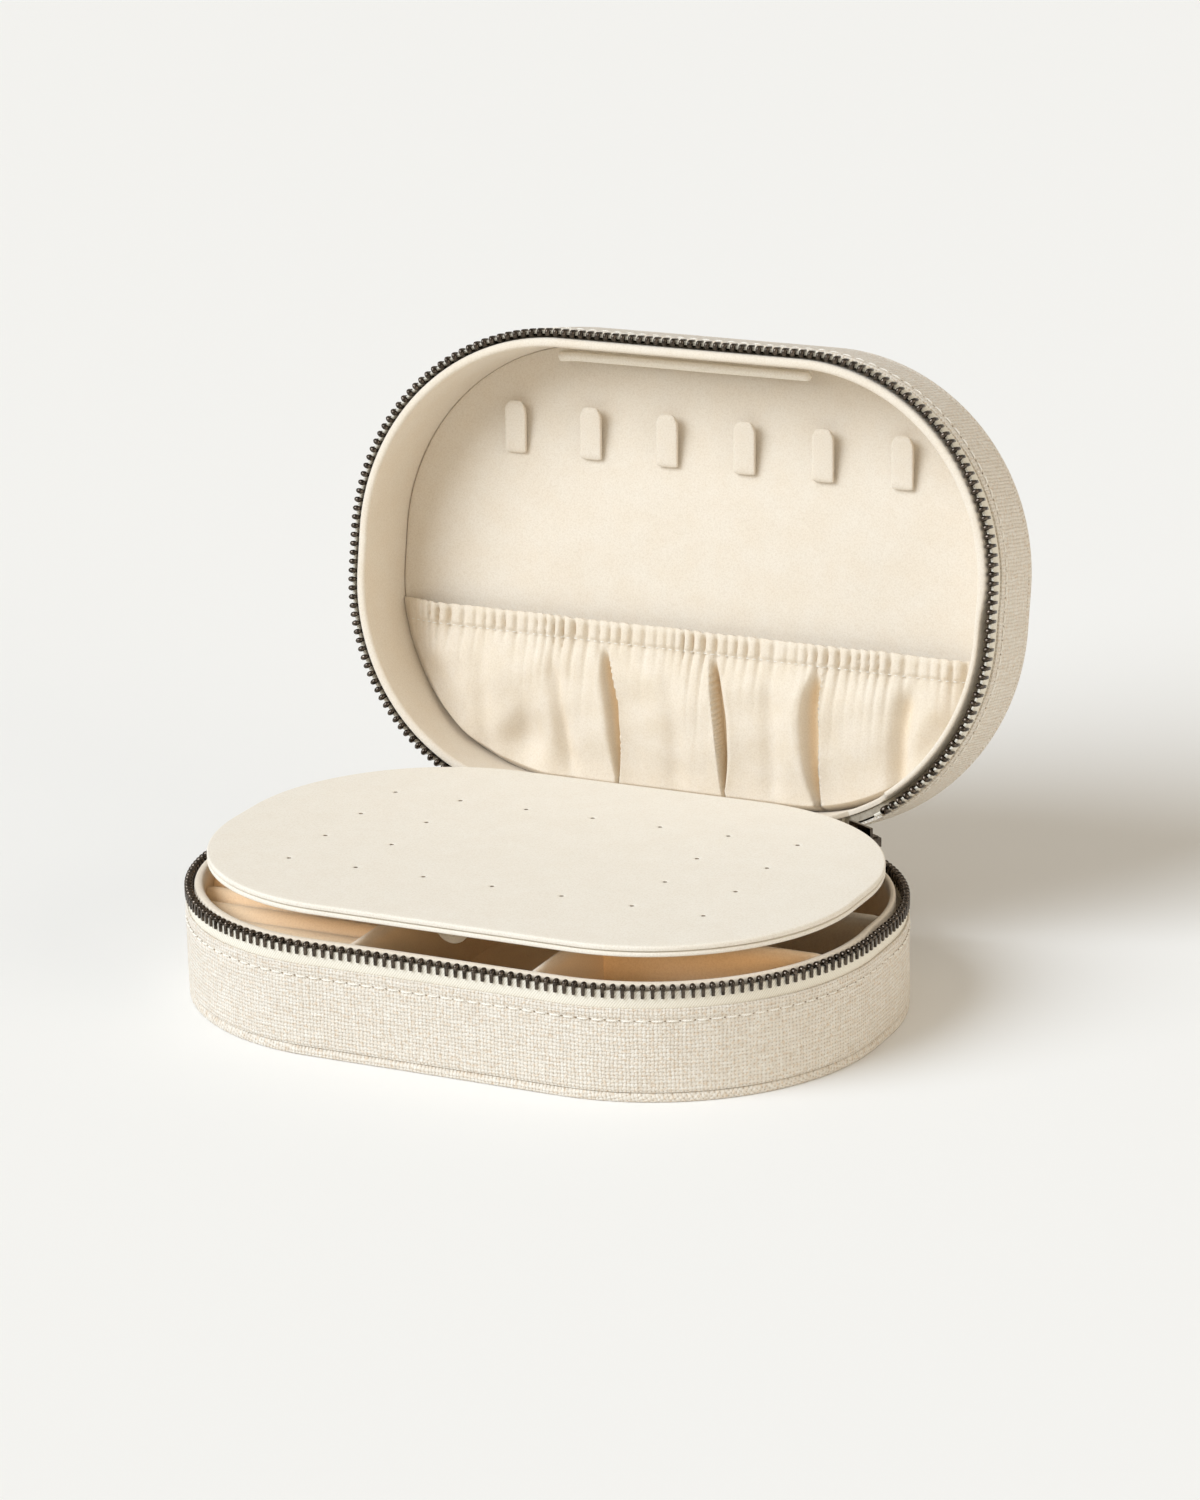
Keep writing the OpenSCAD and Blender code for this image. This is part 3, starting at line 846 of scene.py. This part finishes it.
WIDE_FULLNESS, HIGH_FULLNESS = 1.35, 1.15         # cut size of the pocket over its size in place
END_DROP = 0.72                   # how much lower the pocket stands at its ends


def gather(x):
    """Narrow pleats that the elastic makes, 1 at the bottom of a pleat."""
    phase = x * 2 * math.pi / 3.3 + 1.7 * math.sin(x / 7.3) + 1.2 * math.sin(x / 3.1 + 1)
    strength = 0.62 + 0.38 * math.sin(x / 4.3 + 0.4) * math.cos(x / 11.7)
    return ((1 + math.cos(phase)) / 2) ** 3.0 * strength


def fold_depth(x, down):
    """Height that the large folds add at this place."""
    total = 0.0
    grown = smooth(down, -0.02, 0.25) * (1 - 0.65 * smooth(down, 0.80, 1.0))
    for top, mid, foot, depth, width, side in FOLDS:
        line = (top * (1 - down) * (1 - 2 * down) + mid * 4 * down * (1 - down)
                + foot * down * (2 * down - 1))
        wide = width * (0.28 + 0.72 * math.sin(min(1.0, 0.08 + down) * math.pi) ** 0.8)
        off = (x - line) * (side or 1)
        if side == 0:
            total -= depth * grown * math.exp(-(off / (0.6 * width)) ** 2)
        elif off < 0:
            total += 0.2 * depth * grown * math.exp(off / 3.0)
        else:
            step = smooth(off, 0.0, 0.6)
            away = 1 - smooth(off, wide * 0.55, wide * 1.35)
            swell = 0.2 * math.exp(-abs(off - wide * 1.6) / 3.0)
            total += depth * grown * (0.2 * (1 - step) - step * away + swell * step)
    return total


def pocket_height(x, t):
    """How far the gathered cloth stands off the lid's inside, t from the rear wall."""
    down = (POCKET_SEAM - t) / (POCKET_SEAM - POCKET_FOOT)
    pleat = gather(x)
    if t >= POCKET_SEAM:
        above = t - POCKET_SEAM
        head = smooth(above, 0.0, 1.0) * (1 - 0.5 * smooth(above, 4.5, 6.0))
        return 5.6 + 0.8 * head - pleat * (0.6 + 1.5 * head) * (1 - 0.5 * smooth(above, 3.2, 6))
    belly = 5.6 + 1.3 * smooth(down, 0.0, 0.25)
    length = 5.0 + 4.2 * math.sin(x / 4.1) * math.sin(x / 9.7 + 1)
    fan = math.exp(-(POCKET_SEAM - t) / max(1.5, length))
    body = belly - 1.6 * fan * pleat
    pucker = wobble(x - 8 * down, t * 0.3, 3.2, 2) + 0.6 * wobble(x + 5 * down, t, 1.9, 6)
    body += 0.75 * pucker * smooth(down, 0.0, 0.2) * (1 - 0.45 * smooth(down, 0.35, 0.9))
    spread = 3.2 + 3.6 * smooth(down, 0.45, 0.85)
    hollow = math.exp(-((x - HOLLOW_X) / spread) ** 2 - ((t - HOLLOW_T) / 8.0) ** 2)
    ridge = math.exp(-((x - HOLLOW_X - 8.5) / 2.6) ** 2 - ((t - HOLLOW_T) / 10.0) ** 2)
    return body - 4.2 * hollow + 0.9 * ridge + fold_depth(x, down)


def from_wall(x, y):
    """Distance from the lining's inner face, in the rear half."""
    return CORNER_R - LINING_IN - math.hypot(max(0.0, abs(x) - CORE_X), max(0.0, abs(y) - CORE_Y))


def sunk_places(heights):
    """0 to 1 for each point, by how far it lies below the cloth on both sides of it."""
    around = 14
    padded = np.pad(heights, ((0, 0), (around, around)), mode="edge")
    width = heights.shape[1]
    mean = sum(padded[:, k:k + width] for k in range(2 * around + 1)) / (2 * around + 1)
    return np.clip((mean - heights - 0.8) / 2.2, 0, 1).ravel()


def pocket_piece():
    """Gathered pocket front, with a ruffled header above its elastic."""
    cols, rows = 400, 110
    front, back, heights = [], [], []
    for i in range(rows + 1):
        t = POCKET_FOOT + (POCKET_TOP - POCKET_FOOT) * (i / rows) ** 1.4
        y = LID_REAR - t
        reach = plan_half_x(y, LINING_IN + 0.2)
        for j in range(cols + 1):
            x = (2 * j / cols - 1) * reach
            hem = 0.35 + 0.65 * smooth(from_wall(x, y), 0.0, 2.2)
            ends = 1 - END_DROP * smooth(t, 12, 34) * (1 - smooth(reach - abs(x), 0.0, 13.0))
            high = max(1.5, min(8.3, pocket_height(x, t)))
            heights.append(high)
            high *= hem * ends
            wave = (0.4 * gather(x + 0.8) + 0.15 * wobble(x, 0, 2, 9)) * smooth(t, 46.5, 49)
            front.append((x, y + wave, LID_FLOOR + high))
            back.append((x, y + wave, LID_FLOOR + max(0.1, high - 0.8)))
    heights = np.array(heights).reshape(rows + 1, cols + 1)
    n = len(front)
    sheet = grid_faces(rows + 1, cols + 1)
    faces = [face[::-1] for face in sheet] + [[k + n for k in face] for face in sheet]
    ring = (list(range(cols + 1))
            + [i * (cols + 1) + cols for i in range(1, rows + 1)]
            + [rows * (cols + 1) + j for j in range(cols - 1, -1, -1)]
            + [i * (cols + 1) for i in range(rows - 1, 0, -1)])
    for a, b in zip(ring, ring[1:] + ring[:1]):
        faces.append([a, b, b + n, a + n])
    places = [(x * WIDE_FULLNESS, y) for x, y, _ in front]
    uvs = [[places[k % n] for k in face] for face in faces]
    piece = make("gathered_pocket", front + back, faces, uvs, POCKET_SUEDE, "lid",
                 ("pocket_panel", "pocket_elastic"), sharp=80)
    mend(piece)
    # Painted shade: how much of the crease colour each point takes, more where it lies low between
    # its neighbours.
    fold = piece.data.attributes.new("fold", "FLOAT", "POINT")
    fold.data.foreach_set("value", np.tile(sunk_places(heights), 2))
    return piece


def pocket_stitches():
    """The short stitches that hold the elastic."""
    threads = []
    reach = plan_half_x(LID_REAR - POCKET_SEAM, LINING_IN) - 2
    count = int(reach / 1.05)
    y = LID_REAR - POCKET_SEAM
    for i in range(count):
        x = -reach + (i + 0.5) * 2 * reach / count
        ends = 1 - END_DROP * (1 - smooth(reach + 2 - abs(x), 0.0, 13.0))
        z = LID_FLOOR + pocket_height(x, POCKET_SEAM) * ends
        before, after = (pocket_height(x + side * 0.4, POCKET_SEAM) for side in (-1, 1))
        slope = (after - before) / 0.8
        along = np.array((1, 0, slope * ends))
        along /= np.linalg.norm(along)
        out = np.array((-along[2], 0, along[0]))
        threads.append(((x, y, z + 0.04), along, out, 1.5))
    return stitch_row("pocket_stitches", "lid", threads, 0.15, THREAD)


def strip_piece():
    """The padded bar inside the lid's front wall: a roll on a sewn flange."""
    lo, hi = mm_box("lid_front_strip")
    x0, x1 = lo.x, hi.x
    z0 = LID_FLOOR + 4.4
    inset = LINING_IN - 0.1
    outline = rounded([(inset, z0 + 0.1, 0), (inset + 2.6, z0 + 0.1, 0.8),
                       (inset + 4.2, z0 + 0.4, 1.2), (inset + 4.3, z0 + 2.9, 1.3),
                       (inset + 3.0, z0 + 4.0, 1.2), (inset + 1.75, z0 + 3.4, 0.9),
                       (inset + 1.6, z0 + 1.5, 0.5), (inset, z0 + 1.3, 0)], 5)
    middle = np.array((inset + 3.0, z0 + 2.1))
    us = stations(x0, x1, 0.9)
    verts = []
    for u in us:
        end = min(u - x0, x1 - u)
        scale = math.sqrt(max(0.02, 1 - max(0.0, 1 - end / 1.4) ** 2))
        x, y, nx, ny = station(u)
        for point in outline:
            a, z = middle + (point - middle) * scale * (1 + 0.03 * wobble(u, 0, 4, 6))
            a = max(a, inset)
            verts.append((x - nx * a, y - ny * a, z))
    faces = tube_faces(len(us), len(outline))
    uvs = [[(verts[k][0], verts[k][2]) for k in face] for face in faces]
    piece = make("padded_bar", verts, faces, uvs, LIT_BAR_SUEDE, "lid",
                 ("lid_front_strip",), 70)
    mend(piece)
    return piece


# ---- Earring plate ----

PLATE_BOX = mm_box("earring_plate_cover")
PLATE_LOW = mm_box("earring_plate_backing")[0].z
PLATE_R = CORNER_R - 6.3                          # the plate's corner radius
PLATE_CORE = (PLATE_BOX[1].x - PLATE_R, PLATE_BOX[1].y - PLATE_R)
HOLE_PITCH, HOLE_R, HOLE_SIDES = 20.0, 0.6, 14
PLATE_SEGMENTS = 56                               # of a corner
HOLES = [(a * HOLE_PITCH, b * HOLE_PITCH) for a in range(-3, 4) for b in (-1.5, -0.5, 0.5, 1.5)
         if abs(a) > 1 or abs(b) > 1]


def plate_ring(bm, inset, z):
    """Points round the plate's outline, moved in by inset, at this height."""
    points = []
    for quadrant, (sx, sy) in enumerate([(1, 1), (-1, 1), (-1, -1), (1, -1)]):
        for k in range(PLATE_SEGMENTS + 1):
            a = math.radians(90 * quadrant + 90 * k / PLATE_SEGMENTS)
            push = PLATE_R - inset + 0.08 * wobble(57 * a, z, 4, 1)
            points.append(bm.verts.new((sx * PLATE_CORE[0] + push * math.cos(a),
                                        sy * PLATE_CORE[1] + push * math.sin(a), z)))
    return points


def hole_ring(bm, hole, radius, z):
    turns = [2 * math.pi * k / HOLE_SIDES for k in range(HOLE_SIDES)]
    return [bm.verts.new((hole[0] + radius * math.cos(a), hole[1] + radius * math.sin(a), z))
            for a in turns]


def join_rings(bm, rings, inward=False):
    for a, b in zip(rings, rings[1:]):
        for k in range(len(a)):
            k1 = (k + 1) % len(a)
            corners = (a[k1], a[k], b[k], b[k1]) if inward else (a[k], a[k1], b[k1], b[k])
            bm.faces.new(corners)


def ring_edges(bm, points):
    """The ring's edges, made where they are missing."""
    return [bm.edges.get(pair) or bm.edges.new(pair)
            for pair in zip(points, points[1:] + points[:1])]


def plate_layer(name, low, high, outline, nodes):
    """One layer of the plate: its edge, the walls of its holes, and its two flat sides."""
    bm = bmesh.new()
    rings = [plate_ring(bm, inset, z) for inset, z in outline]
    join_rings(bm, rings)
    bm.edges.ensure_lookup_table()
    bottom_edges, top_edges = ring_edges(bm, rings[0]), ring_edges(bm, rings[-1])
    for hole in HOLES:
        walls = [hole_ring(bm, hole, radius, z)
                 for radius, z in ((HOLE_R * 3, low), (HOLE_R, low), (HOLE_R, high - 0.1),
                                   (HOLE_R * 1.2, high), (HOLE_R * 3, high))]
        join_rings(bm, walls, inward=True)
        bottom_edges += ring_edges(bm, walls[0])
        top_edges += ring_edges(bm, walls[-1])
    for edges in (bottom_edges, top_edges):
        bmesh.ops.triangle_fill(bm, use_beauty=True, edges=edges)
    bmesh.ops.recalc_face_normals(bm, faces=bm.faces)
    bm.verts.index_update()
    verts = [tuple(v.co) for v in bm.verts]
    faces = [[v.index for v in f.verts] for f in bm.faces]
    bm.free()
    uvs = [[verts[k][:2] for k in face] for face in faces]
    piece = make(name, verts, faces, uvs, PLATE_SUEDE, "earring_plate", nodes, 50)
    # The holes' walls take the dark hole colour: painted shade.
    piece.data.materials.append(HOLE_SHADE)
    for face in piece.data.polygons:
        x, y = face.center.x / MM, face.center.y / MM
        if min(math.hypot(x - hx, y - hy) for hx, hy in HOLES) < HOLE_R * 1.02:
            face.material_index = 1
    return piece


def plate_pieces():
    z0, z1 = PLATE_LOW, PLATE_BOX[1].z
    seam = z0 + (z1 - z0) * 0.46
    upper = rounded([(3, seam, 0), (1.4, seam + 0.02, 0.2), (0.06, seam + 0.2, 0.4),
                     (0.0, z1, 0.95), (3, z1, 0)], 5)
    lower = rounded([(3, z0, 0), (0.0, z0, 0.8), (0.12, seam - 0.2, 0.4),
                     (1.4, seam - 0.02, 0.2), (3, seam, 0)], 5)
    plate_layer("plate_cover", seam, z1, upper, ("earring_plate_cover", "earring_plate_board"))
    plate_layer("plate_backing", z0, seam, lower, ("earring_plate_backing",))


def tab_piece():
    """Half-round tongue under the plate's front edge."""
    lo, hi = mm_box("pull_tab")
    radius, z1 = (hi.x - lo.x) / 2, hi.z
    mid_y, half_t = (lo.y + hi.y) / 2, (hi.y - lo.y) / 2
    arcs = 24
    verts = []
    profile = [(0.0, 1), (0.7, 1), (0.90, 0.9), (1.0, 0.45),
               (1.0, -0.45), (0.90, -0.9), (0.7, -1), (0.0, -1)]
    for k in range(arcs + 1):
        a = math.pi + math.pi * k / arcs
        for b, side in profile:
            verts.append((radius * b * math.cos(a), mid_y + half_t * side,
                          z1 - 0.05 + radius * b * math.sin(a)))
    faces = grid_faces(arcs + 1, len(profile))
    uvs = [[(verts[k][0], verts[k][2]) for k in face] for face in faces]
    piece = make("suede_pull_tab", verts, faces, uvs, TAB_SUEDE, "earring_plate",
                 ("pull_tab",), 60)

    def close(bm):
        bmesh.ops.remove_doubles(bm, verts=bm.verts, dist=0.01 * MM)
        bmesh.ops.holes_fill(bm, edges=bm.edges)

    mend(piece, close)
    return piece


# ---- Hinge cloth ----

HINGE_HALF = 52.0                                 # half the gusset's width
HINGE_FOOT = 6.0                                  # its length on the base, and on the lid
HINGE_BEND = 1.6                                  # its bend's length to each side of the corner
HINGE_OFF = 0.08                                  # its distance from the linen under it
HINGE_THICK = 0.6
HINGE_SLACK = 3.0                                 # cloth in the bend, as a multiple of the bend's length; it sets only the places on the cloth
FLAT_STEPS, BEND_STEPS = 5, 19


def hinge_line(recess):
    """The hinge cloth's path at rest, in the (y, z) plane, and where its bend starts and ends.

    recess is how far the outline has curved in from its rear edge.
    """
    lid_dir = np.array((math.sin(OPEN), math.cos(OPEN)))
    under = np.array((math.cos(OPEN), -math.sin(OPEN)))
    pivot = np.array((PIVOT.y, PIVOT.z)) / MM
    edge_y = HALF_W - pivot[0]
    edge_z = pivot[1] - (BAND_TOP + BAND_RAISED)
    corner = pivot + np.array((edge_y * math.cos(OPEN) + edge_z * math.sin(OPEN),
                               -edge_y * math.sin(OPEN) + edge_z * math.cos(OPEN)))
    on_lid = corner + under * (HINGE_OFF - recess)
    inner_y = HALF_W + HINGE_OFF - recess
    inner = on_lid + lid_dir * (inner_y - on_lid[0]) / lid_dir[0]
    start = inner - np.array((0.0, HINGE_BEND))
    end = inner + lid_dir * HINGE_BEND
    foot = inner - np.array((0.0, HINGE_FOOT))
    tip = inner + lid_dir * HINGE_FOOT
    line = [foot + (start - foot) * t for t in np.linspace(0, 1, FLAT_STEPS)]
    for t in np.linspace(0, 1, BEND_STEPS)[1:-1]:
        line.append((1 - t) ** 2 * start + 2 * t * (1 - t) * inner + t * t * end)
    line += [end + (tip - end) * t for t in np.linspace(0, 1, FLAT_STEPS)]
    return np.array(line), start, end


def hinge_lengths():
    """Place on the cloth along the path, with slack in its bend."""
    flat = HINGE_FOOT - HINGE_BEND
    slack = np.linspace(0, HINGE_SLACK * 2 * HINGE_BEND, BEND_STEPS)
    return np.concatenate([np.linspace(-flat, 0, FLAT_STEPS), slack[1:-1],
                           slack[-1] + np.linspace(0, flat, FLAT_STEPS)])


def hinge_piece():
    """Linen gusset across the hinge."""
    xs = np.linspace(-HINGE_HALF, HINGE_HALF, 87)
    verts = []
    for x in xs:
        recess = HALF_W - plan_half_y(x, 0)
        line, _, _ = hinge_line(recess)
        steps = np.gradient(line, axis=0)
        outward = np.stack([steps[:, 1], -steps[:, 0]], 1)
        outward /= np.linalg.norm(outward, axis=1)[:, None]
        thin = 1 - 0.5 * smooth(abs(x), HINGE_HALF - 1, HINGE_HALF)
        section = np.vstack([line, (line + outward * HINGE_THICK * thin)[::-1]])
        for y, z in section:
            verts.append((x, y, z + 0.04 * wobble(x, y, 3, 5)))
    cols = len(section)
    down = hinge_lengths()
    down = np.concatenate([down, down[::-1]])
    faces = tube_faces(len(xs), cols)
    uvs = [[(verts[k][0], down[k % cols]) for k in face] for face in faces]
    piece = make("hinge_linen", verts, faces, uvs, LINEN, None, ("hinge_cloth",), 60)
    mend(piece)
    _, start, end = hinge_line(0)
    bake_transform(piece)
    return piece


# ---- Build ----

def shell(body, prefix, depth, right_end, shift):
    """The shell of the base or the lid, with its half of the zip."""
    end_panel = "bottom_panel" if body == "base" else "top_panel"
    crown = 0.0 if body == "base" else 0.7
    panel_piece(prefix + "panel_cloth", body, depth, crown, (prefix + end_panel,))
    band_piece(prefix + "band_cloth", body, depth, (prefix + "linen_band",))
    band_stitches(prefix + "band_stitches", body)
    tape_piece(prefix + "tape_cloth", body, right_end, (prefix + "zip_tape",))
    teeth_piece(prefix + "teeth", body, CHAIN_END, right_end, shift,
                (prefix + "zip_teeth", prefix + "zip_stops"))
    lining_piece(prefix + "lining_cloth", body, depth, (prefix + "lining_wall",))


def dress_frame():
    """Gives the CAD nodes their materials."""
    slots = {s["node"]: s["material_slot"] for s in frame["record"]["subparts"]}
    for name, node in frame["nodes"].items():
        node.data.materials.clear()
        node.data.materials.append(NODE_MATERIAL[slots[name]])


def cast_piece(name, node, body):
    """A die-cast zip part: the CAD solid's shape with its edges rounded over."""
    source = frame["nodes"][node]
    bpy.context.view_layer.update()
    verts = [source.matrix_world @ v.co / MM for v in source.data.vertices]
    faces = [list(p.vertices) for p in source.data.polygons]
    piece = make(name, verts, faces, no_uvs(faces), METAL, body, (node,), sharp=50)

    def merge_flats(bm):
        bmesh.ops.remove_doubles(bm, verts=bm.verts, dist=0.002 * MM)
        bmesh.ops.dissolve_limit(bm, angle_limit=math.radians(0.5), verts=bm.verts,
                                 edges=bm.edges)

    mend(piece, merge_flats)
    bevel = piece.modifiers.new("edge", "BEVEL")
    bevel.width = 0.22 * MM
    bevel.segments = 3
    bevel.angle_limit = math.radians(35)
    return piece


dress_frame()
shell("base", "base_", RIM_Z, CHAIN_END, 0)
pad_piece("floor_cloth", "base", RIM_Z - FLOOR_Z, FLOOR_Z - PANEL_T, ("base_floor_pad",))
base_fittings()
shell("lid", "lid_", LID_DEPTH, LID_CHAIN_END, 0.5)
pad_piece("ceiling_cloth", "lid", CEILING, 2.2, ("lid_ceiling_pad",))
for hook in range(1, 7):
    hook_piece(hook)
pocket_piece()
pocket_stitches()
strip_piece()
plate_pieces()
tab_piece()
cast_piece("cast_slider", "zip_slider", "slider")
cast_piece("cast_puller", "zip_puller", "puller")
hinge_piece()


# ---- Stage, light and camera ----

def stage():
    """The floor, the studio's light and the light that fills the compartments."""
    bpy.ops.mesh.primitive_plane_add(size=14, location=(0, 0, 0))
    floor = bpy.context.object
    floor.name = "floor"
    paper = Shader("floor", (0.905, 0.895, 0.87), 0.9)
    floor.data.materials.append(paper.material)

    world = bpy.data.worlds.new("studio")
    world.use_nodes = True
    background = world.node_tree.nodes["Background"]
    background.inputs["Color"].default_value = (1.0, 0.925, 0.81, 1)
    background.inputs["Strength"].default_value = 0.475
    bpy.context.scene.world = world

    soft_sun("key", 3.02, 44, (0.82, 0.90, 1.0), azimuth=-38, elevation=36)
    soft_sun("fill", 1.14, 50, (1.0, 0.92, 0.80), azimuth=84, elevation=8)
    glow = soft_sun("inside", 1.08, 14, (1.0, 0.64, 0.33), azimuth=17, elevation=18)
    inside = bpy.data.collections.new("base inside")
    lit = ("floor_cloth", "lined_divider", "lined_cross_divider_front", "soft_ring")
    for piece in bpy.data.objects:
        if piece.name.startswith(lit):
            inside.objects.link(piece)
    glow.light_linking.receiver_collection = inside


def soft_sun(name, energy, spread, color, azimuth, elevation):
    """A sun with a soft edge, which shines from this side of the object."""
    light = bpy.data.objects.new(name, bpy.data.lights.new(name, "SUN"))
    light.data.energy = energy
    light.data.angle = math.radians(spread)
    light.data.color = color
    light.rotation_euler = toward(azimuth, elevation).to_track_quat("Z", "Y").to_euler()
    bpy.context.scene.collection.objects.link(light)
    return light


def toward(azimuth, elevation):
    """Direction from the object to this side, in degrees. Azimuth 0 is its front."""
    a, e = math.radians(azimuth), math.radians(elevation)
    return Vector((math.sin(a) * math.cos(e), -math.cos(a) * math.cos(e), math.sin(e)))


def camera():
    azimuth, elevation, distance = 26.0, 17.61, 1.2638
    roll = math.radians(-1.25)
    target = Vector((0.01724, 0, 0.06948))
    data = bpy.data.cameras.new("camera")
    data.sensor_width = 36
    data.lens = 116.5
    back = toward(azimuth, elevation)
    right = toward(azimuth + 90, 0)
    up = back.cross(right)
    turned_right = right * math.cos(roll) + up * math.sin(roll)
    turned_up = up * math.cos(roll) - right * math.sin(roll)
    obj = bpy.data.objects.new("camera", data)
    axes = Matrix((turned_right, turned_up, back)).transposed()
    obj.matrix_world = Matrix.Translation(target + back * distance) @ axes.to_4x4()
    bpy.context.scene.collection.objects.link(obj)
    bpy.context.scene.camera = obj


stage()
camera()
bpy.context.scene.view_settings.view_transform = "Standard"
